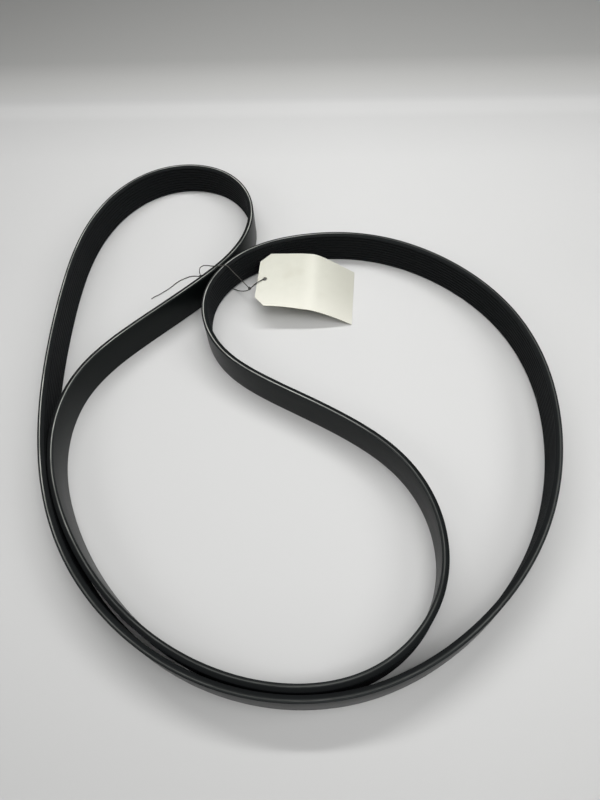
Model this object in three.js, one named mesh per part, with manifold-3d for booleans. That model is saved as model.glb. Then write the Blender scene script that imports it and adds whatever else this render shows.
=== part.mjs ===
// A ten-rib serpentine belt standing on its edge, with a paper tag tied round it by a string.
// Millimetres, +Z up, origin under the middle of the belt's own box.
// The belt is one closed band: its ribs face the inside of the closed line it runs along.

import * as THREE from "three";
import { mergeVertices } from "three/addons/utils/BufferGeometryUtils.js";
import Module from "manifold-3d";

const wasm = await Module();
wasm.setup();

// Belt section
const RIB_COUNT = 10;
const RIB_PITCH = 3.56;
const RIB_HEIGHT = 2.9;
const RIB_ANGLE = 40;
const BELT_THICKNESS = 5.8;
const BACK_BEVEL = 0.4;

// Length along the middle of the belt's thickness
const BELT_LENGTH = 2923;

// Guide points of the belt's middle line seen from above, anticlockwise from the top of the small loop.
// The line is the smooth curve that they pull, so it passes a little inside each of them.
const GUIDE = [
  [-121.5, 300], [-179, 269], [-217, 199], [-229, 101],
  [-232, -17], [-218, -115.5], [-182.5, -195.5], [-119, -260],
  [-41, -295], [43.5, -296.5], [122.5, -260.5], [186.5, -199.5],
  [224, -119], [235, -28], [213.5, 51.5], [159, 117.5],
  [86, 157], [0.5, 159], [-58.5, 130.5], [-88, 76],
  [-67.5, 6], [6.5, -43.5], [89.5, -104], [115, -176],
  [99.5, -242.5], [42.5, -288], [-35, -289], [-113, -254],
  [-176.5, -187.5], [-217, -98.5], [-216, -23], [-183, 35],
  [-78, 107.5], [-31, 160.5], [-24, 228.5], [-58, 284.5],
];

// Stations along the belt, closer together where it bends tighter
const BELT_STEPS = 168;
const FINE_SAMPLES = 6000;
const STRAIGHT_RADIUS = 2500;

// Where two runs meet back to back, and the string passes under both
const PINCH = [-61, 124];
const LIFT_FULL_RADIUS = 16;
const LIFT_END_RADIUS = 105;

// Paper tag: a sheet with two clipped corners and a hole, creased across its middle
const TAG_WIDTH = 73;
const TAG_THICKNESS = 0.5;
const TAG_CLIP_LENGTH = 10.5;
const TAG_CLIP_WIDTH = 11.5;
const TAG_HOLE_RADIUS = 2;
const TAG_HOLE_FROM_END = 7.6;
const TAG_CORNER = [66.7, 57.5];
const TAG_HEADING = -9.3;
const TAG_HOLE_SIDES = 20;

// Underside of the tag from its low end to its hole end: distance back from the low end, and height
const TAG_UNDERSIDE = [
  [0, 0.35], [-12, 7.9], [-25, 15.6], [-37, 21.6], [-41, 23.1],
  [-46, 24], [-58, 25.1], [-72, 25.7], [-87, 25.5], [-99.7, 24.9],
];

// String
const STRING_DIAMETER = 1;
const STRING_SIDES = 8;
const SEAT_GAP = 0.3;
const FLOOR_GAP = 0.05;
const NEAR_KNOT_RADIUS = 1.6;
const FAR_KNOT_RADIUS = 1.4;
const NEAR_KNOT_PLACE = [-35.5, 106.3, 16];
const FAR_KNOT_PLACE = [-90.2, 144.6, 1.6];
const OVER_STEPS = 30;
const UNDER_STEPS = 16;
const TAIL_STEPS = 16;
const TAG_LOOP_STEPS = 24;

const beltWidth = RIB_COUNT * RIB_PITCH;
const flankRun = RIB_HEIGHT * Math.tan(THREE.MathUtils.degToRad(RIB_ANGLE / 2));
const stringRadius = STRING_DIAMETER / 2;
const stringFloor = FLOOR_GAP + stringRadius;
const pinchLift = FLOOR_GAP + STRING_DIAMETER + SEAT_GAP;
const overTop = beltWidth + pinchLift + SEAT_GAP + stringRadius;

// Routes of the string, points chosen by hand
const OVER_ROUTE = [
  [-36.7, 107.1, 17.3], [-44, 112.2, 25], [-51, 116.9, 32.6], [-54.9, 119.6, overTop - 0.8],
  [-57.5, 120.8, overTop + 0.1], [-65, 121.2, overTop], [-72.3, 122, overTop + 0.1],
  [-75.4, 124.6, overTop - 1.6], [-78.4, 129.8, 31.5], [-83, 136.5, 25], [-87.5, 142.5, 17],
  [-90.2, 146.6, 9], [-90.9, 147.6, 4.6], [-90.5, 146.2, 2.6],
];
const UNDER_ROUTE = [
  [-88.8, 143.8, 0.95], [-84, 140.6, stringFloor], [-72, 133, stringFloor], [-60, 125.4, stringFloor],
  [-52, 120.7, 0.7], [-48, 116.8, 2.6], [-41.5, 111.3, 7.4], [-37.6, 108, 11.6], [-36.2, 106.8, 14.2],
];
const TAIL_ROUTE = [
  [-91.8, 144.9, 1], [-95.5, 146.3, stringFloor], [-101.1, 146.6, stringFloor],
  [-106.9, 144.8, stringFloor], [-113.8, 141.4, stringFloor], [-119.4, 136.7, stringFloor],
  [-123.5, 132.6, stringFloor], [-129.8, 127.8, stringFloor], [-136, 123.6, stringFloor],
  [-141.2, 120.8, stringFloor], [-143.9, 118.6, stringFloor],
];
const TAG_LOOP_ROUTE = [
  [-107.4, 31, 17.6], [-103.8, 29.9, 22], [-101, 29.6, 25.8], [-98.6, 30.8, 26.8], [-95.6, 33.4, 26.8],
  [-93.4, 35.3, 26.5], [-92.8, 35.8, 25.4], [-93.4, 35.6, 24], [-96.5, 35, 23.2], [-100.5, 34, 21.6],
  [-104.2, 33.2, 18.9], [-107, 32.6, 16.6],
];

const beltMaterial = new THREE.MeshStandardMaterial({ color: 0x1a1c1e, roughness: 0.72, metalness: 0 });
const paperMaterial = new THREE.MeshStandardMaterial({ color: 0xe0dfd3, roughness: 0.85, metalness: 0 });
const stringMaterial = new THREE.MeshStandardMaterial({ color: 0x5c5b56, roughness: 0.9, metalness: 0 });

// The smooth closed curve that a ring of guide points pulls: a uniform cubic B-spline.
class GuidedLoop extends THREE.Curve {
  constructor(guide) {
    super();
    this.guide = guide;
  }

  getPoint(t, target = new THREE.Vector3()) {
    const count = this.guide.length;
    const along = (((t % 1) + 1) % 1) * count;
    const first = Math.floor(along);
    const f = along - first;
    const weights = [
      (1 - f) ** 3 / 6,
      (3 * f ** 3 - 6 * f ** 2 + 4) / 6,
      (-3 * f ** 3 + 3 * f ** 2 + 3 * f + 1) / 6,
      f ** 3 / 6,
    ];
    target.set(0, 0, 0);
    weights.forEach((weight, i) => {
      const [x, y] = this.guide[(first + i - 1 + count) % count];
      target.x += weight * x;
      target.y += weight * y;
    });
    return target;
  }
}

// Points, travel directions and lengths of step at even parameters round a closed curve.
function sampleLoop(curve, samples) {
  const points = Array.from({ length: samples }, (_, i) => curve.getPoint(i / samples));
  return points.map((point, i) => {
    const next = points[(i + 1) % samples];
    const before = points[(i + samples - 1) % samples];
    const ahead = next.clone().sub(point);
    const behind = point.clone().sub(before);
    const step = ahead.length();
    const turn = Math.abs(behind.angleTo(ahead));
    return { point, step, bend: turn / step };
  });
}

// Parameters of the stations: the spacing follows the square root of the radius of bend.
function stationParameters(curve, count) {
  const samples = sampleLoop(curve, FINE_SAMPLES);
  const running = [0];
  for (const { step, bend } of samples) {
    running.push(running.at(-1) + step * Math.sqrt(bend + 1 / STRAIGHT_RADIUS));
  }
  const parameters = [];
  let at = 0;
  for (let k = 0; k < count; k += 1) {
    const wanted = (running.at(-1) * k) / count;
    while (running[at + 1] <= wanted) at += 1;
    const part = (wanted - running[at]) / (running[at + 1] - running[at]);
    parameters.push((at + part) / FINE_SAMPLES);
  }
  return parameters;
}

// Section of the belt: x is the depth from the middle line towards the rib tips, y the height.
function beltSection() {
  const back = -BELT_THICKNESS / 2;
  const tip = BELT_THICKNESS / 2;
  const root = tip - RIB_HEIGHT;
  const section = new THREE.Shape();
  section.moveTo(root, 0);
  section.lineTo(back + BACK_BEVEL, 0);
  section.lineTo(back, BACK_BEVEL);
  section.lineTo(back, beltWidth - BACK_BEVEL);
  section.lineTo(back + BACK_BEVEL, beltWidth);
  section.lineTo(root, beltWidth);
  for (let rib = RIB_COUNT - 1; rib >= 0; rib -= 1) {
    section.lineTo(tip, (rib + 1) * RIB_PITCH - flankRun);
    section.lineTo(tip, rib * RIB_PITCH + flankRun);
    if (rib > 0) section.lineTo(root, rib * RIB_PITCH);
  }
  return section.getPoints();
}

// Height of the belt's lower edge: it rides over the string where the string passes under it.
function edgeLift(x, y) {
  const away = Math.hypot(x - PINCH[0], y - PINCH[1]);
  return pinchLift * (1 - THREE.MathUtils.smoothstep(away, LIFT_FULL_RADIUS, LIFT_END_RADIUS));
}

// Closed sweep of an upright section round a closed level curve, with no end faces.
function sweepLoop(section, curve, parameters, lift) {
  const positions = [];
  const indices = [];
  const around = section.length;
  for (const t of parameters) {
    const point = curve.getPoint(t);
    const travel = curve.getTangent(t);
    for (const { x: depth, y: height } of section) {
      positions.push(
        point.x - travel.y * depth,
        point.y + travel.x * depth,
        lift(point.x, point.y) + height,
      );
    }
  }
  for (let k = 0; k < parameters.length; k += 1) {
    const here = k * around;
    const there = ((k + 1) % parameters.length) * around;
    for (let j = 0; j < around; j += 1) {
      const next = (j + 1) % around;
      indices.push(here + j, there + j, there + next);
      indices.push(here + j, there + next, here + next);
    }
  }
  const geometry = new THREE.BufferGeometry();
  geometry.setAttribute("position", new THREE.Float32BufferAttribute(positions, 3));
  geometry.setIndex(indices);
  geometry.computeVertexNormals();
  return geometry;
}

// A geometry's faces as a solid, and a solid's faces as a geometry.
function toSolid(geometry) {
  const bare = geometry.clone();
  bare.deleteAttribute("normal");
  bare.deleteAttribute("uv");
  const merged = mergeVertices(bare, 1e-4);
  return new wasm.Manifold(new wasm.Mesh({
    numProp: 3,
    vertProperties: Float32Array.from(merged.attributes.position.array),
    triVerts: Uint32Array.from(merged.index.array),
  }));
}

function toGeometry(solid) {
  const mesh = solid.getMesh();
  const geometry = new THREE.BufferGeometry();
  geometry.setAttribute("position", new THREE.Float32BufferAttribute(mesh.vertProperties, 3));
  geometry.setIndex(Array.from(mesh.triVerts));
  geometry.computeVertexNormals();
  return geometry;
}

// The tag's bent sheet, cut to its outline and punched.
function tagGeometry() {
  const underside = TAG_UNDERSIDE.map(([x, z]) => new THREE.Vector2(x, z));
  const length = -underside.at(-1).x;
  const topside = underside.map((point, i) => {
    const before = underside[Math.max(i - 1, 0)];
    const after = underside[Math.min(i + 1, underside.length - 1)];
    const along = after.clone().sub(before).normalize();
    return new THREE.Vector2(point.x + along.y * TAG_THICKNESS, point.y - along.x * TAG_THICKNESS);
  });
  const sheetShape = new THREE.Shape([...underside, ...topside.reverse()]);
  const sheet = new THREE.ExtrudeGeometry(sheetShape, { depth: TAG_WIDTH, bevelEnabled: false });
  sheet.rotateX(Math.PI / 2);
  sheet.translate(0, TAG_WIDTH, 0);

  const beyond = 2;
  const outline = new THREE.Shape([
    new THREE.Vector2(beyond, -beyond),
    new THREE.Vector2(beyond, TAG_WIDTH + beyond),
    new THREE.Vector2(TAG_CLIP_LENGTH - length, TAG_WIDTH + beyond),
    new THREE.Vector2(TAG_CLIP_LENGTH - length, TAG_WIDTH),
    new THREE.Vector2(-length, TAG_WIDTH - TAG_CLIP_WIDTH),
    new THREE.Vector2(-length, TAG_CLIP_WIDTH),
    new THREE.Vector2(TAG_CLIP_LENGTH - length, 0),
    new THREE.Vector2(TAG_CLIP_LENGTH - length, -beyond),
  ]);
  const hole = new THREE.Path();
  hole.absarc(TAG_HOLE_FROM_END - length, TAG_WIDTH / 2, TAG_HOLE_RADIUS, 0, 2 * Math.PI);
  outline.holes.push(hole);
  const height = Math.max(...underside.map((point) => point.y)) + TAG_THICKNESS + beyond;
  const cutter = new THREE.ExtrudeGeometry(outline, {
    depth: height + beyond,
    bevelEnabled: false,
    curveSegments: TAG_HOLE_SIDES,
  });
  cutter.translate(0, 0, -beyond);
  return toGeometry(toSolid(sheet).intersect(toSolid(cutter)));
}

// A round string along a smooth line through its route points.
function stringGeometry(route, steps) {
  const corners = Array.from({ length: STRING_SIDES }, (_, i) => {
    const angle = (2 * Math.PI * i) / STRING_SIDES;
    return new THREE.Vector2(stringRadius * Math.cos(angle), stringRadius * Math.sin(angle));
  });
  const line = new THREE.CatmullRomCurve3(route.map((place) => new THREE.Vector3(...place)));
  return new THREE.ExtrudeGeometry(new THREE.Shape(corners), { steps, extrudePath: line });
}

function knotGeometry(radius) {
  return new THREE.SphereGeometry(radius, 12, 8);
}

function namedMesh(name, geometry, material, place = [0, 0, 0]) {
  const mesh = new THREE.Mesh(geometry, material);
  mesh.name = name;
  mesh.position.set(...place);
  return mesh;
}

// The drawn curve is spread to the belt's stated length.
const drawnLength = sampleLoop(new GuidedLoop(GUIDE), FINE_SAMPLES).reduce((sum, { step }) => sum + step, 0);
const spread = BELT_LENGTH / drawnLength;
const middleLine = new GuidedLoop(GUIDE.map(([x, y]) => [x * spread, y * spread]));
const beltGeometry = sweepLoop(
  beltSection(),
  middleLine,
  stationParameters(middleLine, BELT_STEPS),
  edgeLift,
);

const layout = new THREE.Group();
layout.add(namedMesh("belt", beltGeometry, beltMaterial));

const tagPlace = new THREE.Group();
tagPlace.position.set(...TAG_CORNER, 0);
tagPlace.rotation.z = THREE.MathUtils.degToRad(TAG_HEADING);
tagPlace.add(namedMesh("tag", tagGeometry(), paperMaterial));
tagPlace.add(namedMesh("tag_loop", stringGeometry(TAG_LOOP_ROUTE, TAG_LOOP_STEPS), stringMaterial));
layout.add(tagPlace);

layout.add(namedMesh("near_knot", knotGeometry(NEAR_KNOT_RADIUS), stringMaterial, NEAR_KNOT_PLACE));
layout.add(namedMesh("far_knot", knotGeometry(FAR_KNOT_RADIUS), stringMaterial, FAR_KNOT_PLACE));
layout.add(namedMesh("string_over", stringGeometry(OVER_ROUTE, OVER_STEPS), stringMaterial));
layout.add(namedMesh("string_under", stringGeometry(UNDER_ROUTE, UNDER_STEPS), stringMaterial));
layout.add(namedMesh("string_tail", stringGeometry(TAIL_ROUTE, TAIL_STEPS), stringMaterial));

// The origin goes under the middle of the belt's own box.
beltGeometry.computeBoundingBox();
const middle = beltGeometry.boundingBox.getCenter(new THREE.Vector3());
layout.position.set(-middle.x, -middle.y, 0);

const belt = new THREE.Group();
belt.add(layout);

export default belt;
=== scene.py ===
# %% [markdown]
# # A serpentine belt standing on its edge
# The object is a ten-rib drive belt, moulded as one closed band, with a paper tag tied round it.
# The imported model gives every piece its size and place, and stays where it is.
# Here the belt, the tag and the string get the fine shapes and the finishes that the eye sees.

# %% Load the model and keep its box
import math

import bmesh
import bpy
from mathutils import Matrix, Vector


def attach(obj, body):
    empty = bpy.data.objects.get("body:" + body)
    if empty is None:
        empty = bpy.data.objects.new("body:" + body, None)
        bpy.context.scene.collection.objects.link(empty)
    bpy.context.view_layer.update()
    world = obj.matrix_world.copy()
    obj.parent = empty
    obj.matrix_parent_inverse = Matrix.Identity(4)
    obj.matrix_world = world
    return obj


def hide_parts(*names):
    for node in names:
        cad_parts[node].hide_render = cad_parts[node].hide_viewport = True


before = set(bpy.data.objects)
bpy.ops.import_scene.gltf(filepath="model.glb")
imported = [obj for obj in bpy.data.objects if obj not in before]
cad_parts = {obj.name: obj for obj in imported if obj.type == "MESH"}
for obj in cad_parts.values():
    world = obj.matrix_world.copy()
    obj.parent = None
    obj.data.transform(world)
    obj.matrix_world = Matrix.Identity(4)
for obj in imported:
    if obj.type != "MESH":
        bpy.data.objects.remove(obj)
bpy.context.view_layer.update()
MM = 0.001
print("nodes:", sorted(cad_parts))

# %% [markdown]
# ## The camera
# The photograph was taken from above the belt's near edge, looking down at 57 degrees, with the
# camera turned a little about its own axis. The place, the tilt and the lens were worked out from
# the outlines of the belt's upper and lower edges, so that both edges fall on the photograph's.

# %% Camera
CAMERA_PLACE = Vector((6.7, -352.8, 507.5)) * MM
CAMERA_DOWN = math.radians(57.36)
CAMERA_ROLL = math.radians(-5.27)
CAMERA_LENS = 28.24
CAMERA_SENSOR = 36
CAMERA_NEAR = 20 * MM


def make_camera():
    """A camera with the photograph's lens, place and turn."""
    data = bpy.data.cameras.new("camera")
    data.lens = CAMERA_LENS
    data.sensor_width = CAMERA_SENSOR
    data.clip_start = CAMERA_NEAR
    camera = bpy.data.objects.new("camera", data)
    right = Vector((1, 0, 0))
    up = Vector((0, math.sin(CAMERA_DOWN), math.cos(CAMERA_DOWN)))
    forward = Vector((0, math.cos(CAMERA_DOWN), -math.sin(CAMERA_DOWN)))
    turned_right = right * math.cos(CAMERA_ROLL) + up * math.sin(CAMERA_ROLL)
    turned_up = up * math.cos(CAMERA_ROLL) - right * math.sin(CAMERA_ROLL)
    axes = Matrix((turned_right, turned_up, -forward)).transposed()
    camera.matrix_world = Matrix.Translation(CAMERA_PLACE) @ axes.to_4x4()
    bpy.context.collection.objects.link(camera)
    bpy.context.scene.camera = camera


make_camera()
print("camera at", CAMERA_PLACE, "with a lens of", CAMERA_LENS)

# %% [markdown]
# ## Small helpers
# Colours are written as they look on screen and turned to linear light by one function.
# One function adds any node with its settings and links, for materials and Geometry Nodes alike.
# Inputs may be given by name or in order, and a node given as a value stands for its first output.

# %% Colours, nodes and plain objects
MATH = "ShaderNodeMath"
VECTOR_MATH = "ShaderNodeVectorMath"
MAP_RANGE = "ShaderNodeMapRange"
SMOOTH = {"interpolation_type": "SMOOTHSTEP"}
MIX = "ShaderNodeMix"
NOISE = "ShaderNodeTexNoise"
ATTRIBUTE = "ShaderNodeAttribute"
SEPARATE = "ShaderNodeSeparateXYZ"
COMBINE = "ShaderNodeCombineXYZ"
OBJECT_INFO = "GeometryNodeObjectInfo"
STORE = "GeometryNodeStoreNamedAttribute"


def colour(hex_value):
    """Linear colour of an sRGB hex value."""
    parts = [int(hex_value[i:i + 2], 16) / 255 for i in (1, 3, 5)]
    linear = [p / 12.92 if p <= 0.04045 else ((p + 0.055) / 1.055) ** 2.4 for p in parts]
    return (*linear, 1.0)


def set_inputs(tree, node, values):
    """Links a node's inputs to sockets, and writes in any other value."""
    for key, value in values.items():
        if isinstance(value, bpy.types.Node):
            value = value.outputs[0]
        if isinstance(value, bpy.types.NodeSocket):
            tree.links.new(value, node.inputs[key])
        else:
            node.inputs[key].default_value = value


def add_node(tree, kind, values=(), **settings):
    """A node with its settings and its inputs."""
    node = tree.nodes.new(kind)
    for name, setting in settings.items():
        setattr(node, name, setting)
    set_inputs(tree, node, values if isinstance(values, dict) else dict(enumerate(values)))
    return node


def link_object(name, data):
    """An object at the origin holding the data."""
    made = bpy.data.objects.new(name, data)
    bpy.context.collection.objects.link(made)
    return made


def line_object(name, points, closed):
    """A polyline as a curve object, for the node trees to read."""
    data = bpy.data.curves.new(name, "CURVE")
    data.dimensions = "3D"
    spline = data.splines.new("POLY")
    spline.points.add(len(points) - 1)
    for slot, point in zip(spline.points, points):
        slot.co = (*point, 1)
    spline.use_cyclic_u = closed
    return link_object(name, data)


def run_tree(name, tree, inputs, smooth_angle):
    """The plain mesh that a Geometry Nodes tree makes from its inputs, as a finished object."""
    host = link_object(name, bpy.data.meshes.new(name + "_host"))
    modifier = host.modifiers.new("nodes", "NODES")
    modifier.node_group = tree
    given = [item for item in tree.interface.items_tree if item.in_out == "INPUT"]
    sockets = {item.name: item.identifier for item in given}
    for label, value in inputs.items():
        modifier[sockets[label]] = value
    graph = bpy.context.evaluated_depsgraph_get()
    mesh = bpy.data.meshes.new_from_object(host.evaluated_get(graph), depsgraph=graph)
    host.modifiers.clear()
    host.data = mesh
    point_outwards(mesh)
    mesh.set_sharp_from_angle(angle=math.radians(smooth_angle))
    print(name, "triangles:", sum(len(face.vertices) - 2 for face in mesh.polygons))
    return host


def point_outwards(mesh):
    """Turns a closed mesh's faces outwards."""
    work = bmesh.new()
    work.from_mesh(mesh)
    if work.calc_volume(signed=True) < 0:
        bmesh.ops.reverse_faces(work, faces=work.faces)
        work.to_mesh(mesh)
    work.free()


# %% [markdown]
# ## The line that the belt runs along
# The belt is a flat strap that only bends about upright axes, so its whole lay is one level line.
# A ring of guide points pulls a smooth closed curve, a uniform cubic B-spline, whose bend changes
# evenly, as a strap's does.

# %% The belt's middle line
BELT_LENGTH = 2923 * MM
BELT_STEPS = 1100
FINE_STEPS = 6000
GUIDE = [
    (-121.5, 300), (-179, 269), (-217, 199), (-229, 101),
    (-232, -17), (-218, -115.5), (-182.5, -195.5), (-119, -260),
    (-41, -295), (43.5, -296.5), (122.5, -260.5), (186.5, -199.5),
    (224, -119), (235, -28), (213.5, 51.5), (159, 117.5),
    (86, 157), (0.5, 159), (-58.5, 130.5), (-88, 76),
    (-67.5, 6), (6.5, -43.5), (89.5, -104), (115, -176),
    (99.5, -242.5), (42.5, -288), (-35, -289), (-113, -254),
    (-176.5, -187.5), (-217, -98.5), (-216, -23), (-183, 35),
    (-78, 107.5), (-31, 160.5), (-24, 228.5), (-58, 284.5),
]


def guided_point(guide, t):
    """Point at parameter t, 0 to 1, on the closed cubic B-spline of the guide points."""
    along = (t % 1) * len(guide)
    first = int(along)
    f = along - first
    weights = (
        (1 - f) ** 3 / 6,
        (3 * f ** 3 - 6 * f ** 2 + 4) / 6,
        (-3 * f ** 3 + 3 * f ** 2 + 3 * f + 1) / 6,
        f ** 3 / 6,
    )
    pulled = [Vector(guide[(first + i - 1) % len(guide)]) * w for i, w in enumerate(weights)]
    return sum(pulled, Vector((0, 0)))


def even_points(points, closed, count):
    """The given number of points at even distances along a fine polyline."""
    ring = points + points[:1] if closed else points
    running = [0.0]
    for a, b in zip(ring, ring[1:]):
        running.append(running[-1] + (b - a).length)
    gaps = count if closed else count - 1
    placed = []
    at = 0
    for k in range(count):
        wanted = running[-1] * k / gaps
        while at < len(ring) - 2 and running[at + 1] < wanted:
            at += 1
        part = (wanted - running[at]) / (running[at + 1] - running[at])
        placed.append(ring[at].lerp(ring[at + 1], part))
    return placed, running[-1]


fine = [guided_point(GUIDE, i / FINE_STEPS) * MM for i in range(FINE_STEPS)]
middle_points, drawn_length = even_points(fine, True, BELT_STEPS)
spread = BELT_LENGTH / drawn_length
LAYOUT_SHIFT = -Vector((
    (min(p.x for p in fine) + max(p.x for p in fine)) / 2,
    (min(p.y for p in fine) + max(p.y for p in fine)) / 2,
)) * spread
middle_points = [p * spread + LAYOUT_SHIFT for p in middle_points]
middle_line = line_object("middle_line", [(*p, 0) for p in middle_points], True)
print("drawn length in mm:", round(drawn_length / MM, 2), "shift in mm:", LAYOUT_SHIFT / MM)

# %% [markdown]
# ## The belt's section
# A multi-rib belt is cut from a wide moulded sleeve, so its two edges are clean cuts. From the back
# they show a thin black cover, a pale line where the cut runs through the cords and their fabric,
# and then the rubber that the ribs are ground into. Each rib has 40 degree flanks at a 3.56 mm pitch.

# %% Section outline
RIB_COUNT = 10
RIB_PITCH = 3.56 * MM
RIB_HEIGHT = 2.9 * MM
RIB_ANGLE = math.radians(40)
THICKNESS = 5.8 * MM
BELT_WIDTH = RIB_COUNT * RIB_PITCH
FLANK_RUN = RIB_HEIGHT * math.tan(RIB_ANGLE / 2)
BACK_ROUND = 0.45 * MM
TIP_ROUND = 0.18 * MM
GROOVE_ROUND = 0.14 * MM
GROOVE_SIDE_RUN = GROOVE_ROUND * 0.8
GROOVE_SIDE_RISE = GROOVE_ROUND / math.tan(RIB_ANGLE / 2) * 0.5
GROOVE_MIDDLE_RISE = GROOVE_ROUND * 0.4
CORD_DEPTH = 2.0 * MM
CORD_LINE_WIDTH = 0.9 * MM
CORD_RECESS = 0.07 * MM
CORD_RECESS_RUN = 0.12 * MM
CORNER_POINTS = 4


def cut_edge(side):
    """Points of one cut edge from the ribs to the back; side is -1 below and 1 above."""
    half = BELT_WIDTH / 2
    shape = [
        (CORD_DEPTH + CORD_LINE_WIDTH / 2 + CORD_RECESS_RUN, 0),
        (CORD_DEPTH + CORD_LINE_WIDTH / 2, CORD_RECESS),
        (CORD_DEPTH - CORD_LINE_WIDTH / 2, CORD_RECESS),
        (CORD_DEPTH - CORD_LINE_WIDTH / 2 - CORD_RECESS_RUN, 0),
    ]
    for i in range(CORNER_POINTS):
        angle = math.pi / 2 * i / (CORNER_POINTS - 1)
        shape.append((BACK_ROUND * (1 - math.sin(angle)), BACK_ROUND * (1 - math.cos(angle))))
    return [(depth - THICKNESS / 2, half + side * (half - inset)) for depth, inset in shape]


def rib_face():
    """Points of the ribs from the upper edge down."""
    tip = THICKNESS / 2
    root = tip - RIB_HEIGHT
    slope = math.tan(RIB_ANGLE / 2)
    points = []
    for rib in reversed(range(RIB_COUNT)):
        low = rib * RIB_PITCH
        high = low + RIB_PITCH
        points += [
            (root + GROOVE_SIDE_RISE, high - GROOVE_SIDE_RUN),
            (tip - TIP_ROUND, high - FLANK_RUN + TIP_ROUND * slope),
            (tip, high - FLANK_RUN - TIP_ROUND),
            (tip, low + FLANK_RUN + TIP_ROUND),
            (tip - TIP_ROUND, low + FLANK_RUN - TIP_ROUND * slope),
            (root + GROOVE_SIDE_RISE, low + GROOVE_SIDE_RUN),
        ]
        if rib > 0:
            points.append((root + GROOVE_MIDDLE_RISE, low))
    return points


root_depth = THICKNESS / 2 - RIB_HEIGHT
section_points = [(root_depth, 0)] + cut_edge(-1) + cut_edge(1)[::-1]
section_points += [(root_depth, BELT_WIDTH)] + rib_face()
section = line_object("section", [(x, y, 0) for x, y in section_points], True)
print("section points:", len(section_points))

# %% [markdown]
# ## Sweeping the section
# Geometry Nodes carries the section along the middle line with its height kept upright. The same
# tree raises the belt a little over the string at the pinch, and stores what the finish needs:
# the depth from the back, the height on the section, and a place on a ring as long as the belt,
# which lets a pattern run lengthwise round the whole belt without a seam.

# %% The belt's node tree
PINCH = Vector((-61, 124, 0)) * MM
STRING_DIAMETER = 1 * MM
FLOOR_GAP = 0.05 * MM
SEAT_GAP = 0.3 * MM
PINCH_LIFT = FLOOR_GAP + STRING_DIAMETER + SEAT_GAP
LIFT_FULL_RADIUS = 16 * MM
LIFT_END_RADIUS = 105 * MM


def named_inputs(tree, sockets):
    """Adds the tree's named inputs and its one output."""
    for label, kind in sockets:
        tree.interface.new_socket(label, in_out="INPUT", socket_type=kind)
    tree.interface.new_socket("Geometry", in_out="OUTPUT", socket_type="NodeSocketGeometry")
    return tree.nodes.new("NodeGroupInput").outputs


def finish_tree(tree, mesh, material):
    """Ends a tree: smooth shading, real geometry, the material and the output."""
    smooth = add_node(tree, "GeometryNodeSetShadeSmooth", {"Geometry": mesh})
    real = add_node(tree, "GeometryNodeRealizeInstances", {"Geometry": smooth})
    finished = add_node(tree, "GeometryNodeSetMaterial", {"Geometry": real, "Material": material})
    add_node(tree, "NodeGroupOutput", {"Geometry": finished})


def belt_tree():
    """Sweeps the section along the middle line and stores the belt's own measures."""
    tree = bpy.data.node_groups.new("belt_band", "GeometryNodeTree")
    given = named_inputs(tree, [
        ("Middle line", "NodeSocketObject"), ("Section", "NodeSocketObject"),
        ("Pinch", "NodeSocketVector"), ("Lift", "NodeSocketFloat"),
        ("Full radius", "NodeSocketFloat"), ("End radius", "NodeSocketFloat"),
        ("Ring radius", "NodeSocketFloat"), ("Half thickness", "NodeSocketFloat"),
        ("Material", "NodeSocketMaterial"),
    ])

    # The middle line, raised near the pinch, with the section's height kept upright
    line = add_node(tree, OBJECT_INFO, {"Object": given["Middle line"]}).outputs["Geometry"]
    place = add_node(tree, "GeometryNodeInputPosition")
    away = add_node(tree, VECTOR_MATH, (place, given["Pinch"]), operation="DISTANCE").outputs["Value"]
    rise = add_node(tree, MAP_RANGE, {
        "Value": away, "From Min": given["Full radius"], "From Max": given["End radius"],
        "To Min": given["Lift"], "To Max": 0.0,
    }, **SMOOTH)
    offset = add_node(tree, COMBINE, {"Z": rise})
    raised = add_node(tree, "GeometryNodeSetPosition", {"Geometry": line, "Offset": offset})
    level = add_node(tree, "GeometryNodeSetCurveNormal", {"Curve": raised}, mode="Z_UP")
    upright = add_node(tree, "GeometryNodeSetCurveTilt", {"Curve": level, "Tilt": math.pi})

    # A place on a ring as long as the belt
    along = add_node(tree, "GeometryNodeSplineParameter").outputs
    turn = add_node(tree, MATH, (along["Factor"], 2 * math.pi), operation="MULTIPLY")
    east = add_node(tree, MATH, (turn,), operation="COSINE")
    north = add_node(tree, MATH, (turn,), operation="SINE")
    circle = add_node(tree, COMBINE, (east, north))
    ring = add_node(tree, VECTOR_MATH, {0: circle, "Scale": given["Ring radius"]}, operation="SCALE")
    path = add_node(
        tree, STORE, {"Geometry": upright, "Name": "ring", "Value": ring}, data_type="FLOAT_VECTOR",
    )

    # The section with its measures
    outline = add_node(tree, OBJECT_INFO, {"Object": given["Section"]}).outputs["Geometry"]
    corner = add_node(tree, SEPARATE, (place,)).outputs
    depth = add_node(tree, MATH, (corner["X"], given["Half thickness"]), operation="ADD")
    measures = {"depth": depth, "height": corner["Y"], "around": along["Length"]}
    for name, value in measures.items():
        outline = add_node(
            tree, STORE, {"Geometry": outline, "Name": name, "Value": value}, data_type="FLOAT",
        )

    band = add_node(tree, "GeometryNodeCurveToMesh", {"Curve": path, "Profile Curve": outline})
    finish_tree(tree, band, given["Material"])
    return tree


# %% [markdown]
# ## Belt rubber
# The ribs are EPDM rubber with short fibres, ground to shape, so they are matt and near black with
# fine lengthwise grinding marks, and their tips are painted a little lighter as a painted highlight.
# The back is a moulded rubber cover: smoother, so it picks up a soft grey sheen from the room. The cut
# edges are dull, and the pale line is the cords and their fabric opened by the knife, so it is uneven:
# brighter where a cord was cut, darker where rubber covers it. Over that, the line carries a painted
# highlight: brighter where the cut edge catches the light, dimmer on the near and right sides.

# %% Materials and layers of colour


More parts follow.
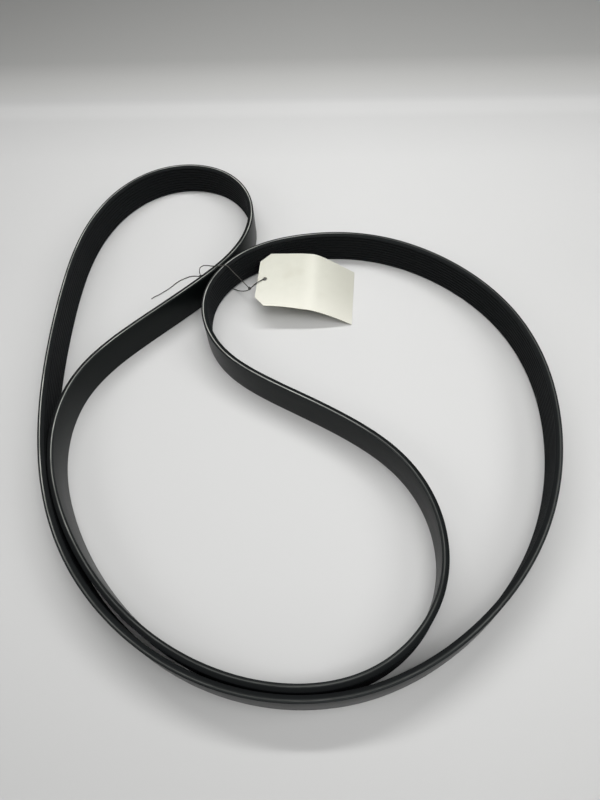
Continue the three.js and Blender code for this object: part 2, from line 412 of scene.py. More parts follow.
def material_tree(name):
    """A new material's node tree, emptied, with its shader and output."""
    material = bpy.data.materials.new(name)
    material.use_nodes = True
    tree = material.node_tree
    tree.nodes.clear()
    shader = add_node(tree, "ShaderNodeBsdfPrincipled")
    add_node(tree, "ShaderNodeOutputMaterial", {"Surface": shader})
    return material, tree, shader


def paint(tree, base, *layers):
    """A base colour with layers over it, each a share and a colour, given as hex or as a socket."""
    coat = colour(base) if isinstance(base, str) else base
    for share, tone in layers:
        over = colour(tone) if isinstance(tone, str) else tone
        coat = add_node(tree, MIX, {0: share, 6: coat, 7: over}, data_type="RGBA").outputs[2]
    return coat


# %% Belt material
GRAIN = 0.35 * MM
GRIND_MARK = 0.25 * MM
GRIND_LENGTH = 14 * MM
OPENED_MARK = GRIND_MARK / 0.35
HANDLING_MARK = 60 * MM
CUT_PATCH = 30 * MM
CUT_BLEND = (0.12 * MM, 0.22 * MM)
RIB_BLEND = 0.1 * MM
TIP_START = THICKNESS - 0.5 * MM
TIP_FULL = THICKNESS - 0.02 * MM
LINE_CORE = CORD_LINE_WIDTH * 0.36
LINE_RIM = CORD_LINE_WIDTH * 0.58
OPENED_BETWEEN = (0.34, 0.62)
PATCHES_BETWEEN = (0.35, 0.65)
LEAST_OPENED = 0.6
# Where the cord line's painted highlight is full, where it fades, and its least share
LINE_SHEEN_FADES_BELOW = -230 * MM
LINE_SHEEN_FULL_ABOVE = -40 * MM
LINE_SHEEN_FULL_LEFT_OF = 0 * MM
LINE_SHEEN_FADES_RIGHT_OF = 110 * MM
LEAST_LINE_SHEEN = 0.15
BACK_ROUGHNESS = 0.3
RIBS_ROUGHER = 0.3
HANDLING_ROUGHER = 0.1
CORDS_ROUGHER = 0.25
RUBBER_SHINE = 0.14
RUBBER_IOR = 1.5
MARKS_RELIEF = 0.6
GRAIN_RELIEF = 0.4
RELIEF_STRENGTH = 0.35
RELIEF_DEPTH = 0.08 * MM


def belt_material():
    """EPDM rubber: ground ribs, a moulded back cover and cut edges with an opened cord line."""
    material, tree, shader = material_tree("belt_epdm_rubber")
    ring = add_node(tree, ATTRIBUTE, attribute_name="ring").outputs["Vector"]
    depth, height, around = (
        add_node(tree, ATTRIBUTE, attribute_name=name).outputs["Fac"]
        for name in ("depth", "height", "around")
    )
    place = add_node(tree, "ShaderNodeTexCoord").outputs["Object"]

    # Lengthwise marks: the ring is squeezed so that each mark is long and thin
    squeeze = GRIND_MARK / GRIND_LENGTH
    squeezed = add_node(tree, VECTOR_MATH, {0: ring, "Scale": squeeze}, operation="SCALE")
    across = add_node(tree, COMBINE, {"Z": around})
    lengthwise = add_node(tree, VECTOR_MATH, (squeezed, across), operation="ADD")
    marks = add_node(tree, NOISE, {"Vector": lengthwise, "Scale": 1 / GRIND_MARK, "Detail": 2.0})
    grain = add_node(tree, NOISE, {
        "Vector": place, "Scale": 1 / GRAIN, "Detail": 3.0, "Roughness": 0.6,
    })
    handling = add_node(tree, NOISE, {
        "Vector": place, "Scale": 1 / HANDLING_MARK, "Detail": 4.0, "Roughness": 0.55,
    })

    # Where the surface lies: on a cut edge, on the ribs or on the back
    low_cut = add_node(tree, MAP_RANGE, (height, *CUT_BLEND, 1.0, 0.0), **SMOOTH)
    high_start, high_full = BELT_WIDTH - CUT_BLEND[1], BELT_WIDTH - CUT_BLEND[0]
    high_cut = add_node(tree, MAP_RANGE, (height, high_start, high_full), **SMOOTH)
    on_cut = add_node(tree, MATH, (low_cut, high_cut), operation="MAXIMUM")
    rib_root = THICKNESS - RIB_HEIGHT
    on_ribs = add_node(tree, MAP_RANGE, (depth, rib_root - RIB_BLEND, rib_root + RIB_BLEND), **SMOOTH)
    on_tips = add_node(tree, MAP_RANGE, (depth, TIP_START, TIP_FULL), **SMOOTH)
    off_centre = add_node(tree, MATH, (depth, CORD_DEPTH), operation="SUBTRACT")
    off_centre = add_node(tree, MATH, (off_centre,), operation="ABSOLUTE")
    in_line = add_node(tree, MAP_RANGE, (off_centre, LINE_CORE, LINE_RIM, 1.0, 0.0), **SMOOTH)
    cords = add_node(tree, MATH, (in_line, on_cut), operation="MULTIPLY")

    # How far the cords lie open: cord by cord and in patches. Over that, a painted highlight: the line
    # is painted brighter where the cut edge catches the light, and dimmer on the near and right sides.
    opened = add_node(tree, NOISE, {
        "Vector": lengthwise, "Scale": 1 / OPENED_MARK, "Detail": 3.0, "Roughness": 0.7,
    })
    opened = add_node(tree, MAP_RANGE, (opened, *OPENED_BETWEEN), **SMOOTH)
    patches = add_node(tree, NOISE, {"Vector": place, "Scale": 1 / CUT_PATCH, "Detail": 2.0})
    patches = add_node(tree, MAP_RANGE, (patches, *PATCHES_BETWEEN, LEAST_OPENED, 1.0), **SMOOTH)
    opened = add_node(tree, MATH, (opened, patches), operation="MULTIPLY")
    parts = add_node(tree, SEPARATE, (place,)).outputs
    by_side = add_node(tree, MAP_RANGE, (parts["X"], LINE_SHEEN_FULL_LEFT_OF, LINE_SHEEN_FADES_RIGHT_OF, 1.0, 0.0), **SMOOTH)
    by_length = add_node(tree, MAP_RANGE, (parts["Y"], LINE_SHEEN_FADES_BELOW, LINE_SHEEN_FULL_ABOVE), **SMOOTH)
    painted_line_sheen = add_node(tree, MATH, (by_side, by_length), operation="MULTIPLY")
    painted_line_sheen = add_node(tree, MATH, (painted_line_sheen, 1 - LEAST_LINE_SHEEN, LEAST_LINE_SHEEN), operation="MULTIPLY_ADD")
    sheen_lit_cords = add_node(tree, MATH, (cords, painted_line_sheen), operation="MULTIPLY")

    back = paint(tree, "#070A0A", (handling, "#0D1111"))
    # The rib tips are painted a little lighter than the grooves: a painted highlight on the tips.
    ribs = paint(tree, "#050606", (marks, "#0F1012"), (on_tips, "#0D0E10"))
    line = paint(tree, "#6A6C68", (opened, "#C4C6C0"))
    surface = paint(tree, back, (on_ribs, ribs), (on_cut, "#111213"), (sheen_lit_cords, line))

    rough = add_node(tree, MATH, (on_ribs, RIBS_ROUGHER, BACK_ROUGHNESS), operation="MULTIPLY_ADD")
    rough = add_node(tree, MATH, (handling, HANDLING_ROUGHER, rough), operation="MULTIPLY_ADD")
    rough = add_node(tree, MATH, (cords, CORDS_ROUGHER, rough), operation="MULTIPLY_ADD")
    relief = add_node(tree, MATH, (marks, MARKS_RELIEF), operation="MULTIPLY")
    relief = add_node(tree, MATH, (grain, GRAIN_RELIEF, relief), operation="MULTIPLY_ADD")
    bump = add_node(tree, "ShaderNodeBump", {
        "Height": relief, "Strength": RELIEF_STRENGTH, "Distance": RELIEF_DEPTH,
    })
    set_inputs(tree, shader, {
        "Base Color": surface, "Roughness": rough, "Specular IOR Level": RUBBER_SHINE,
        "IOR": RUBBER_IOR, "Specular Tint": colour("#E9F2F0"), "Normal": bump,
    })
    return material


# %% The belt
BELT_SMOOTH_ANGLE = 35
belt = run_tree("belt_band", belt_tree(), {
    "Middle line": middle_line, "Section": section, "Pinch": PINCH + LAYOUT_SHIFT.to_3d(),
    "Lift": PINCH_LIFT, "Full radius": LIFT_FULL_RADIUS, "End radius": LIFT_END_RADIUS,
    "Ring radius": BELT_LENGTH / (2 * math.pi), "Half thickness": THICKNESS / 2,
    "Material": belt_material(),
}, BELT_SMOOTH_ANGLE)
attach(belt, "root")
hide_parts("belt")
print("belt box in mm:", [tuple(round(v / MM, 2) for v in corner) for corner in (
    [min(v.co[i] for v in belt.data.vertices) for i in range(3)],
    [max(v.co[i] for v in belt.data.vertices) for i in range(3)],
)])

# %% [markdown]
# ## The paper tag
# The tag is a sheet of stiff cream paper with two clipped corners and a punched hole. It was folded
# across its middle once, so it lies with its plain end on the floor, rises to the crease and then
# runs nearly level to the hole end. A flat outline is cut into narrow strips, so that it can be bent
# along its length, and then gets its thickness.

# %% Tag shape
TAG_WIDTH = 73 * MM
TAG_THICKNESS = 0.5 * MM
TAG_CLIP_LENGTH = 10.5 * MM
TAG_CLIP_WIDTH = 11.5 * MM
TAG_HOLE_RADIUS = 2 * MM
TAG_HOLE_FROM_END = 7.6 * MM
TAG_CORNER = Vector((66.7, 57.5)) * MM
TAG_HEADING = math.radians(-9.3)
TAG_HOLE_SIDES = 36
TAG_STRIP = 1.2 * MM
TAG_CROSS_STRIP = 3 * TAG_STRIP
TAG_FAR_SIDE_RISE = 2.6 * MM
TAG_HUMP_PLACE = -43 * MM
TAG_HUMP_REACH = 24 * MM
TAG_SHEET_NORMAL = 0.5
TAG_SMOOTH_ANGLE = 40
TAG_UNDERSIDE = [
    (0, 0.35), (-12, 7.9), (-25, 15.6), (-37, 21.6), (-41, 23.1),
    (-46, 24), (-58, 25.1), (-72, 25.7), (-87, 25.5), (-99.7, 24.9),
]
TAG_LENGTH = -TAG_UNDERSIDE[-1][0] * MM


def smooth_height(x):
    """Height of the tag's underside at a distance along it, smooth through its points."""
    spots = [(px * MM, pz * MM) for px, pz in TAG_UNDERSIDE]
    k = 0
    while k < len(spots) - 2 and x < spots[k + 1][0]:
        k += 1
    (x0, z0), (x1, z1) = spots[k], spots[k + 1]
    before = spots[max(k - 1, 0)]
    after = spots[min(k + 2, len(spots) - 1)]
    slope0 = (z1 - before[1]) / (x1 - before[0])
    slope1 = (after[1] - z0) / (after[0] - x0)
    span = x1 - x0
    f = (x - x0) / span
    return (
        (2 * f ** 3 - 3 * f ** 2 + 1) * z0 + (f ** 3 - 2 * f ** 2 + f) * span * slope0
        + (3 * f ** 2 - 2 * f ** 3) * z1 + (f ** 3 - f ** 2) * span * slope1
    )


def tag_to_world(x, y, z):
    """A point of the tag's own layout where it lies beside the belt."""
    turned = Vector((x, y)) @ Matrix.Rotation(TAG_HEADING, 2).transposed()
    return (turned + TAG_CORNER * spread + LAYOUT_SHIFT).to_3d() + Vector((0, 0, z))


def tag_outline():
    """Corners of the flat tag, from its plain end round the clipped end."""
    clip = TAG_CLIP_LENGTH - TAG_LENGTH
    return [
        (0, 0), (0, TAG_WIDTH), (clip, TAG_WIDTH), (-TAG_LENGTH, TAG_WIDTH - TAG_CLIP_WIDTH),
        (-TAG_LENGTH, TAG_CLIP_WIDTH), (clip, 0),
    ]


def tag_hole():
    """Points of the punched hole."""
    centre = Vector((TAG_HOLE_FROM_END - TAG_LENGTH, TAG_WIDTH / 2))
    turns = [2 * math.pi * i / TAG_HOLE_SIDES for i in range(TAG_HOLE_SIDES)]
    return [centre + TAG_HOLE_RADIUS * Vector((math.cos(a), math.sin(a))) for a in turns]


def make_tag(material):
    """The bent paper tag with its hole."""
    work = bmesh.new()
    edges = []
    for ring_points in (tag_outline(), tag_hole()):
        corners = [work.verts.new((x, y, 0)) for x, y in ring_points]
        edges += [work.edges.new(pair) for pair in zip(corners, corners[1:] + corners[:1])]
    bmesh.ops.triangle_fill(work, edges=edges, use_beauty=True)
    cuts = [((-k * TAG_STRIP, 0, 0), (1, 0, 0)) for k in range(1, int(TAG_LENGTH / TAG_STRIP))]
    cross_count = int(TAG_WIDTH / TAG_CROSS_STRIP)
    cuts += [((0, k * TAG_CROSS_STRIP, 0), (0, 1, 0)) for k in range(1, cross_count)]
    for spot, direction in cuts:
        everything = work.verts[:] + work.edges[:] + work.faces[:]
        bmesh.ops.bisect_plane(work, geom=everything, plane_co=spot, plane_no=direction)
    uv = work.loops.layers.uv.new("UVMap")
    for face in work.faces:
        for loop in face.loops:
            loop[uv].uv = (-loop.vert.co.x / TAG_LENGTH, loop.vert.co.y / TAG_WIDTH)
    for corner in work.verts:
        x, y, _ = corner.co
        hump = math.exp(-((x - TAG_HUMP_PLACE) / TAG_HUMP_REACH) ** 2)
        rise = TAG_FAR_SIDE_RISE * (2 * y / TAG_WIDTH - 1) * hump
        corner.co = tag_to_world(x, y, smooth_height(x) + rise)
    bmesh.ops.recalc_face_normals(work, faces=work.faces)
    if sum(face.normal.z for face in work.faces) < 0:
        bmesh.ops.reverse_faces(work, faces=work.faces)
    mesh = bpy.data.meshes.new("paper_tag")
    work.to_mesh(mesh)
    work.free()
    mesh.materials.append(material)
    mesh.shade_smooth()
    tag = link_object("paper_tag", mesh)
    thick = tag.modifiers.new("thickness", "SOLIDIFY")
    thick.thickness = TAG_THICKNESS
    thick.offset = 1
    thick.use_even_offset = True
    graph = bpy.context.evaluated_depsgraph_get()
    solid = bpy.data.meshes.new_from_object(tag.evaluated_get(graph), depsgraph=graph)
    tag.modifiers.clear()
    tag.data = solid
    sheet = solid.attributes.new("sheet_face", "FLOAT", "FACE")
    for face, mark in zip(solid.polygons, sheet.data):
        mark.value = 1.0 if abs(face.normal.z) > TAG_SHEET_NORMAL else 0.0
    solid.set_sharp_from_angle(angle=math.radians(TAG_SMOOTH_ANGLE))
    return tag


# %% [markdown]
# ## Tag paper
# Uncoated manila card is matt and warm white, with a faint cloud of pulp and short fibres.
# It is painted darker, as painted shade, towards its low end, round the hole and on its cut edges,
# and lighter along the crease and the near edge, as painted highlights.

# %% Tag material
TAG_CREASE = 44 * MM
CREASE_WIDTH = 12 * MM
HOLE_RIM_SHADE_WIDTH = 0.8 * MM
PULP_CLOUD = 9 * MM
STAIN_PATCH = PULP_CLOUD / 0.3
STAIN_BETWEEN = (0.5, 0.75)
FIBRE = 0.7 * MM
FIBRE_SHARE = 0.3
STAIN_SHARE = 0.35
CREASE_HIGHLIGHT_SHARE = 0.35
LOW_END_SHADE_SHARE = 0.6
NEAR_EDGE_HIGHLIGHT_SHARE = 0.5
PAPER_ROUGHNESS = 0.82
FIBRE_STRENGTH = 0.25
FIBRE_DEPTH = 0.05 * MM


def tag_material():
    """Uncoated cream card."""
    material, tree, shader = material_tree("tag_manila_card")
    uv = add_node(tree, "ShaderNodeTexCoord").outputs["UV"]
    card = add_node(tree, VECTOR_MATH, (uv, (TAG_LENGTH, TAG_WIDTH, 0)), operation="MULTIPLY")
    cloud = add_node(tree, NOISE, {
        "Vector": card, "Scale": 1 / PULP_CLOUD, "Detail": 4.0, "Roughness": 0.6,
    })
    fibres = add_node(tree, NOISE, {
        "Vector": card, "Scale": 1 / FIBRE, "Detail": 2.0, "Roughness": 0.6,
    })
    stain = add_node(tree, NOISE, {"Vector": card, "Scale": 1 / STAIN_PATCH, "Detail": 2.0})
    fibred = add_node(tree, MATH, (fibres, FIBRE_SHARE), operation="MULTIPLY")
    stained = add_node(tree, MAP_RANGE, (stain, *STAIN_BETWEEN, 0.0, STAIN_SHARE), **SMOOTH)

    # Painted light: a painted highlight on the crease and along the near edge, and painted shade on the
    # end that turns down and round the hole's rim
    along = add_node(tree, SEPARATE, (card,)).outputs["X"]
    # Painted highlight: a soft lighter band along the crease
    from_crease = add_node(tree, MATH, (along, TAG_CREASE), operation="SUBTRACT")
    from_crease = add_node(tree, MATH, (from_crease,), operation="ABSOLUTE")
    crease_highlight = add_node(tree, MAP_RANGE, (from_crease, 0.0, CREASE_WIDTH, CREASE_HIGHLIGHT_SHARE, 0.0), **SMOOTH)
    # Painted shade: the card is painted darker from the crease down to its low end
    low_end_shade = add_node(tree, MAP_RANGE, (along, 0.0, TAG_CREASE, LOW_END_SHADE_SHARE, 0.0), **SMOOTH)
    # Painted highlight: the card is painted lighter towards its near edge
    far_share = add_node(tree, SEPARATE, (uv,)).outputs["Y"]
    near_share = add_node(tree, MATH, (1.0, far_share), operation="SUBTRACT")
    near_edge_highlight = add_node(tree, MATH, (near_share, 2.0), operation="POWER")
    near_edge_highlight = add_node(tree, MATH, (near_edge_highlight, NEAR_EDGE_HIGHLIGHT_SHARE), operation="MULTIPLY")
    # Painted shade: a dark ring painted round the hole's rim
    hole = (TAG_LENGTH - TAG_HOLE_FROM_END, TAG_WIDTH / 2, 0)
    to_hole = add_node(tree, VECTOR_MATH, (card, hole), operation="DISTANCE").outputs["Value"]
    hole_rim_shade_end = TAG_HOLE_RADIUS + HOLE_RIM_SHADE_WIDTH
    hole_rim_shade = add_node(tree, MAP_RANGE, (to_hole, TAG_HOLE_RADIUS, hole_rim_shade_end, 1.0, 0.0), **SMOOTH)
    # Painted shade: the tag's cut edges are painted a darker brown grey, for the dark line along its
    # lower edge
    sheet_face = add_node(tree, ATTRIBUTE, attribute_name="sheet_face").outputs["Fac"]
    cut_face = add_node(tree, MATH, (1.0, sheet_face), operation="SUBTRACT")

    paper = paint(
        tree, "#CCCCBF", (cloud, "#D7D7CB"), (fibred, "#C2C1B3"), (stained, "#BFBCAC"),
        (crease_highlight, "#E8E7DC"), (low_end_shade, "#BAB9AD"), (near_edge_highlight, "#F3F1E6"), (hole_rim_shade, "#3C3A2C"),
        (cut_face, "#8F8C79"),
    )
    bump = add_node(tree, "ShaderNodeBump", {
        "Height": fibres, "Strength": FIBRE_STRENGTH, "Distance": FIBRE_DEPTH,
    })
    set_inputs(tree, shader, {"Base Color": paper, "Roughness": PAPER_ROUGHNESS, "Normal": bump})
    return material


# %% The tag
tag = make_tag(tag_material())
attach(tag, "root")
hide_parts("tag")
print("tag triangles:", sum(len(face.vertices) - 2 for face in tag.data.polygons))

# %% [markdown]
# ## The string
# The tag hangs on a thin cotton string of three plies. It goes from the tag's knot over the top of
# both runs of the belt and back under them, to a second knot behind the belt, where its loose end
# lies on the floor. A three-lobed section that turns as it goes along the route gives the plies.

# %% String routes
OVER_GAP = 0.3
OVER_TOP = (BELT_WIDTH + PINCH_LIFT + STRING_DIAMETER / 2) / MM + OVER_GAP
STRING_FLOOR = 0.55
OVER_ROUTE = [
    (-36.7, 107.1, 17.3), (-44, 112.2, 25), (-51, 116.9, 32.6), (-54.9, 119.6, OVER_TOP - 0.8),
    (-57.5, 120.8, OVER_TOP + 0.1), (-65, 121.2, OVER_TOP), (-72.3, 122, OVER_TOP + 0.1),
    (-75.4, 124.6, OVER_TOP - 1.6), (-78.4, 129.8, 31.5), (-83, 136.5, 25), (-87.5, 142.5, 17),
    (-90.2, 146.6, 9), (-90.9, 147.6, 4.6), (-90.5, 146.2, 2.6),
]
UNDER_ROUTE = [
    (-88.8, 143.8, 0.95), (-84, 140.6, STRING_FLOOR), (-72, 133, STRING_FLOOR),
    (-60, 125.4, STRING_FLOOR), (-52, 120.7, 0.7), (-48, 116.8, 2.6), (-41.5, 111.3, 7.4),
    (-37.6, 108, 11.6), (-36.2, 106.8, 14.2),
]
TAIL_ROUTE = [
    (-91.8, 144.9, 1), (-95.5, 146.3, STRING_FLOOR), (-101.1, 146.6, STRING_FLOOR),
    (-106.9, 144.8, STRING_FLOOR), (-113.8, 141.4, STRING_FLOOR), (-119.4, 136.7, STRING_FLOOR),
    (-123.5, 132.6, STRING_FLOOR), (-129.8, 127.8, STRING_FLOOR), (-136, 123.6, STRING_FLOOR),
    (-141.2, 120.8, STRING_FLOOR), (-143.9, 118.6, STRING_FLOOR),
]
TAG_LOOP_ROUTE = [
    (-107.4, 31, 17.6), (-103.8, 29.9, 22), (-101, 29.6, 25.8), (-98.6, 30.8, 26.8), (-95.6, 33.4, 26.8),
    (-93.4, 35.3, 26.5), (-92.8, 35.8, 25.4), (-93.4, 35.6, 24), (-96.5, 35, 23.2), (-100.5, 34, 21.6),
    (-104.2, 33.2, 18.9), (-107, 32.6, 16.6),
]
NEAR_KNOT = (-35.5, 106.3, 16)
FAR_KNOT = (-90.2, 144.6, 1.6)
STRING_STEP = 0.3 * MM
STRING_LEAST_POINTS = 24
ROUTE_STEPS = 20


def layout_to_world(x, y, z):
    """A point of the belt's layout, in millimetres, in the model's frame."""
    return Vector((x * MM + LAYOUT_SHIFT.x, y * MM + LAYOUT_SHIFT.y, z * MM))


def through(points, closed=False):
    """Even points on the smooth line through route points, a centripetal Catmull-Rom curve."""
    ends = [points[0] * 2 - points[1]] + points + [points[-1] * 2 - points[-2]]
    if closed:
        ends = [points[-1]] + points + points[:2]
    fine_points = []
    for k in range(1, len(ends) - 2):
        p0, p1, p2, p3 = ends[k - 1:k + 3]
        t1 = math.sqrt((p1 - p0).length)
        t2 = t1 + math.sqrt((p2 - p1).length)
        t3 = t2 + math.sqrt((p3 - p2).length)
        for i in range(ROUTE_STEPS):
            t = t1 + (t2 - t1) * i / ROUTE_STEPS
            a1 = p0.lerp(p1, t / t1)
            a2 = p1.lerp(p2, (t - t1) / (t2 - t1))
            a3 = p2.lerp(p3, (t - t2) / (t3 - t2))
            b1 = a1.lerp(a2, t / t2)
            b2 = a2.lerp(a3, (t - t1) / (t3 - t1))
            fine_points.append(b1.lerp(b2, (t - t1) / (t2 - t1)))
    if not closed:
        fine_points.append(points[-1])
    length = sum((b - a).length for a, b in zip(fine_points, fine_points[1:]))
    return even_points(fine_points, closed, max(STRING_LEAST_POINTS, round(length / STRING_STEP)))


# %% The string's node tree
PLY_COUNT = 3
PLY_SIDES = 18
PLY_HOLLOW = 0.16
PLY_PITCH = 3.2 * MM


def string_section():
    """Round section with one shallow hollow between each two plies."""
    points = []
    for i in range(PLY_SIDES):
        angle = 2 * math.pi * i / PLY_SIDES
        lobe = abs(math.cos(PLY_COUNT * angle / 2))
        radius = STRING_DIAMETER / 2 * (1 - PLY_HOLLOW * (1 - lobe) ** 2)
        points.append((radius * math.cos(angle), radius * math.sin(angle), 0))
    return line_object("string_section", points, True)


def string_tree():
    """Carries the plies' section along a route while it turns."""
    tree = bpy.data.node_groups.new("twisted_string", "GeometryNodeTree")
    given = named_inputs(tree, [
        ("Route", "NodeSocketObject"), ("Section", "NodeSocketObject"),
        ("Pitch", "NodeSocketFloat"), ("Material", "NodeSocketMaterial"),
    ])
    route = add_node(tree, OBJECT_INFO, {"Object": given["Route"]}).outputs["Geometry"]
    along = add_node(tree, "GeometryNodeSplineParameter").outputs
    turns = add_node(tree, MATH, (along["Length"], given["Pitch"]), operation="DIVIDE")
    angle = add_node(tree, MATH, (turns, 2 * math.pi), operation="MULTIPLY")
    path = add_node(tree, "GeometryNodeSetCurveTilt", {"Curve": route, "Tilt": angle})
    shape = add_node(tree, OBJECT_INFO, {"Object": given["Section"]}).outputs["Geometry"]
    outline = add_node(
        tree, STORE, {"Geometry": shape, "Name": "ply", "Value": along["Factor"]}, data_type="FLOAT",
    )
    strand = add_node(tree, "GeometryNodeCurveToMesh", {
        "Curve": path, "Profile Curve": outline, "Fill Caps": True,
    })
    finish_tree(tree, strand, given["Material"])
    return tree


# %% [markdown]
# ## String cotton
# Cotton twine is dull and slightly hairy. Handling beside black rubber has turned it a dark grey.
# Its plies are painted lighter on their crowns and darker in the hollows between them, as painted shade.

# %% String material
FUZZ = 0.25 * MM
FUZZ_SHARE = 0.5
FUZZ_STRENGTH = 0.5
FUZZ_DEPTH = 0.06 * MM
STRING_ROUGHNESS = 0.9


def string_material():
    """Grey cotton twine, with painted shade in the hollows between its plies."""
    material, tree, shader = material_tree("string_cotton_twine")
    ply = add_node(tree, ATTRIBUTE, attribute_name="ply").outputs["Fac"]
    place = add_node(tree, "ShaderNodeTexCoord").outputs["Object"]
    fuzz = add_node(tree, NOISE, {
        "Vector": place, "Scale": 1 / FUZZ, "Detail": 3.0, "Roughness": 0.7,
    })
    # Painted shade: the hollows between the plies are painted darker than their crowns
    lobes = add_node(tree, MATH, (ply, PLY_COUNT * math.pi), operation="MULTIPLY")
    lobes = add_node(tree, MATH, (lobes,), operation="COSINE")
    lobes = add_node(tree, MATH, (lobes,), operation="ABSOLUTE")
    hairy = add_node(tree, MATH, (fuzz, FUZZ_SHARE), operation="MULTIPLY")
    yarn = paint(tree, "#262624", (lobes, "#53524D"), (hairy, "#3E3D39"))
    bump = add_node(tree, "ShaderNodeBump", {
        "Height": fuzz, "Strength": FUZZ_STRENGTH, "Distance": FUZZ_DEPTH,
    })
    set_inputs(tree, shader, {"Base Color": yarn, "Roughness": STRING_ROUGHNESS, "Normal": bump})
    return material


# %% Strands
STRING_SMOOTH_ANGLE = 60
twine = string_material()
ply_section = string_section()
twisting = string_tree()


def make_strand(name, route_points, closed=False):
    """One stretch of string along its route, with the path and length that it follows."""
    points, length = through(route_points, closed)
    route = line_object(name + "_route", points, closed)
    strand = run_tree(name, twisting, {
        "Route": route, "Section": ply_section, "Pitch": PLY_PITCH, "Material": twine,
    }, STRING_SMOOTH_ANGLE)
    bpy.data.objects.remove(route)
    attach(strand, "root")
    return strand, points, length


# %% Knots
KNOT_TURN_RADIUS = 1.0 * MM
KNOT_WAVE = 0.5 * MM
KNOT_POINTS = 48
NEAR_KNOT_TILT = 0.9
FAR_KNOT_TILT = 0.1


def knot_route(centre, tilt):
    """Overhand knot: a trefoil line about its centre."""
    turned = Matrix.Rotation(tilt, 3, "X")
    points = []
    for i in range(KNOT_POINTS):
        t = 2 * math.pi * i / KNOT_POINTS
        out = KNOT_TURN_RADIUS + KNOT_WAVE * math.cos(3 * t)
        spot = Vector((out * math.cos(2 * t), out * math.sin(2 * t), KNOT_WAVE * math.sin(3 * t)))
        points.append(layout_to_world(*centre) + turned @ spot)
    return points


near_knot, _, _ = make_strand("tag_knot", knot_route(NEAR_KNOT, NEAR_KNOT_TILT), True)
far_knot, _, _ = make_strand("belt_knot", knot_route(FAR_KNOT, FAR_KNOT_TILT), True)
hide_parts("near_knot")
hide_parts("far_knot")

# %% Each stretch of string as a cord
STRANDS = {
    "string_over": ([layout_to_world(*p) for p in OVER_ROUTE], "knot"),
    "string_under": ([layout_to_world(*p) for p in UNDER_ROUTE], "knot"),
    "string_tail": ([layout_to_world(*p) for p in TAIL_ROUTE], "bare"),
    "tag_loop": ([tag_to_world(*(Vector(p) * MM)) for p in TAG_LOOP_ROUTE], "knot"),
}
for node, (route_points, far_end) in STRANDS.items():
    strand, path_points, length = make_strand(node + "_twine", route_points)
    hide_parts(node)
    print(node, "length in mm:", round(length / MM, 1))
for helper in (middle_line, section, ply_section):
    bpy.data.objects.remove(helper)

# %% [markdown]
# ## Floor and light
# The belt stands on a white surface that runs up and away at the back. The floor is a plain flat
# sheet, so ramps of grey paint its light and shade: one from front to back, square to the line where
# the surface turns up, painted darker at the front and darker still where the surface turns up at
# the back, and a weak one from side to side, painted a little darker towards both sides.
# A soft panel above the near side and a long strip above the far side give the wide soft shadows,
# and a lamp on each side lifts the outer faces. The sky is dim, so the belt's foot stays dark, and a
# pale backdrop takes its place for the camera and in reflections.

# %% Floor
FLOOR_SIZE = 6.0
FLOOR_FOLD_SLOPE = 0.132
FLOOR_ROUGHNESS = 0.7
FLOOR_SHINE = 0.2
# Painted shade from front to back: darker at the front and darker still where the surface turns up
FLOOR_TONES = [
    (-0.350, "#CBCBCA"), (-0.200, "#D2D2D1"), (0.150, "#D3D3D2"), (0.340, "#DADAD9"),
    (0.425, "#D6D6D5"), (0.440, "#DBDBDA"), (0.458, "#DADAD9"), (0.474, "#CFCFCE"),
    (0.500, "#CACAC8"), (0.530, "#C3C3C1"), (0.575, "#B1B1AF"), (0.620, "#AFAFAD"),
    (0.700, "#AEAEAC"),
]
# Painted shade from side to side: a little darker towards both sides
FLOOR_SIDE_TONES = [(-0.35, "#FAFAFA"), (0.10, "#FFFFFF"), (0.45, "#FAFAFA")]


def tone_ramp(tree, value, tones):
    """Colours along a value in metres, from its first place to its last."""
    first, last = tones[0][0], tones[-1][0]
    share = add_node(tree, MAP_RANGE, (value, first, last))
    ramp = add_node(tree, "ShaderNodeValToRGB", (share,))
    marks = ramp.color_ramp.elements
    marks[0].color = colour(tones[0][1])
    marks[1].color = colour(tones[-1][1])
    for place, tone in tones[1:-1]:
        marks.new((place - first) / (last - first)).color = colour(tone)
    return ramp.outputs[0]


def floor_material():
    """Matt white sheet, with painted shade graded from front to back and from side to side."""
    material, tree, shader = material_tree("floor_sheet")
    place = add_node(tree, "ShaderNodeTexCoord").outputs["Object"]
    parts = add_node(tree, SEPARATE, (place,)).outputs
    back = add_node(tree, MATH, (parts["X"], FLOOR_FOLD_SLOPE, parts["Y"]), operation="MULTIPLY_ADD")
    by_back = tone_ramp(tree, back, FLOOR_TONES)
    by_side = tone_ramp(tree, parts["X"], FLOOR_SIDE_TONES)
    tone = add_node(tree, VECTOR_MATH, (by_back, by_side), operation="MULTIPLY")
    set_inputs(tree, shader, {
        "Base Color": tone, "Roughness": FLOOR_ROUGHNESS, "Specular IOR Level": FLOOR_SHINE,
    })
    return material


floor_mesh = bpy.data.meshes.new("floor")
half = FLOOR_SIZE / 2
floor_mesh.from_pydata(
    [(-half, -half, 0), (half, -half, 0), (half, half, 0), (-half, half, 0)], [], [(0, 1, 2, 3)],
)
floor_mesh.materials.append(floor_material())
floor = link_object("floor", floor_mesh)
print("floor tones:", len(FLOOR_TONES), "from front to back,", len(FLOOR_SIDE_TONES), "across")

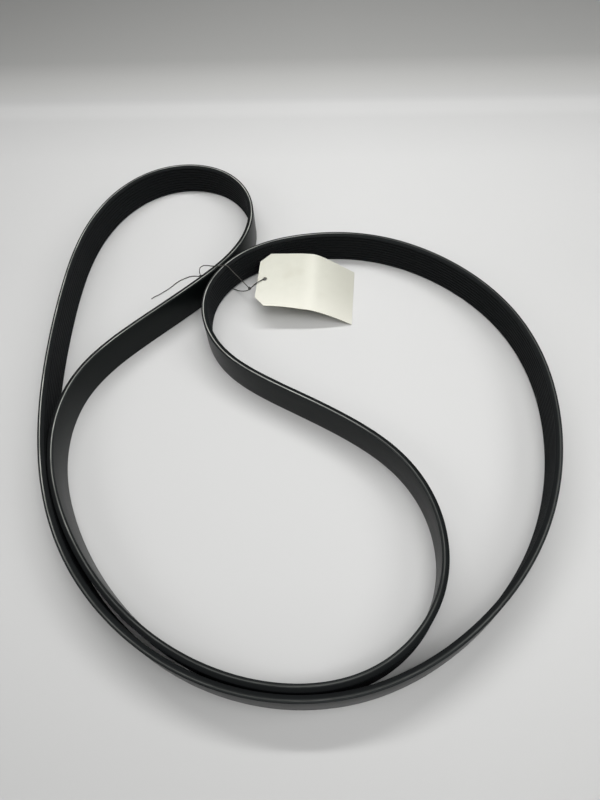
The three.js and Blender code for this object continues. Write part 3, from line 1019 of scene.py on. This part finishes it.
# %% Light
SKY_LOW = 0.04
SKY_HIGH = 0.14
SKY_COLOUR = "#FFFFFF"
BACKDROP_COLOUR = "#CFCFCD"
LAMPS = {
    "room_front": (Vector((0.12, -0.42, 1.0)), (0.6, 0.5), 4.7),
    "rear_strip": (Vector((0.02, 0.36, 0.9)), (1.1, 0.08), 5.8),
    "left_wall": (Vector((-1.1, -0.3, 1.0)), (0.6, 0.6), 3.0),
    "right_wall": (Vector((1.1, -0.3, 1.0)), (0.6, 0.6), 5.0),
}


def make_light(name, place, size, power):
    """A soft rectangular lamp aimed at the belt's middle."""
    data = bpy.data.lights.new(name, "AREA")
    data.shape = "RECTANGLE"
    data.size, data.size_y = size
    data.energy = power
    lamp = link_object(name, data)
    lamp.location = place
    lamp.rotation_euler = (-place).to_track_quat("-Z", "Y").to_euler()


def make_room():
    """A dim sky, brighter overhead, and a pale backdrop for what is seen or mirrored."""
    world = bpy.data.worlds.new("room")
    world.use_nodes = True
    tree = world.node_tree
    tree.nodes.clear()
    direction = add_node(tree, "ShaderNodeTexCoord").outputs["Generated"]
    rise = add_node(tree, SEPARATE, (direction,)).outputs["Z"]
    strength = add_node(tree, MAP_RANGE, {"Value": rise, "To Min": SKY_LOW, "To Max": SKY_HIGH})
    sky = add_node(tree, "ShaderNodeBackground", (colour(SKY_COLOUR), strength))
    backdrop = add_node(tree, "ShaderNodeBackground", (colour(BACKDROP_COLOUR), 1.0))
    ray = add_node(tree, "ShaderNodeLightPath").outputs
    mirrored = add_node(
        tree, MATH, (ray["Is Glossy Ray"], ray["Is Transmission Ray"]), operation="MAXIMUM",
    )
    seen = add_node(tree, MATH, (ray["Is Camera Ray"], mirrored), operation="MAXIMUM")
    room = add_node(tree, "ShaderNodeMixShader", (seen, sky, backdrop))
    add_node(tree, "ShaderNodeOutputWorld", {"Surface": room})
    bpy.context.scene.world = world


for lamp_name, (lamp_place, lamp_size, lamp_power) in LAMPS.items():
    make_light(lamp_name, lamp_place, lamp_size, lamp_power)
make_room()
bpy.context.scene.view_settings.view_transform = "Standard"
print("lamps:", ", ".join(LAMPS))
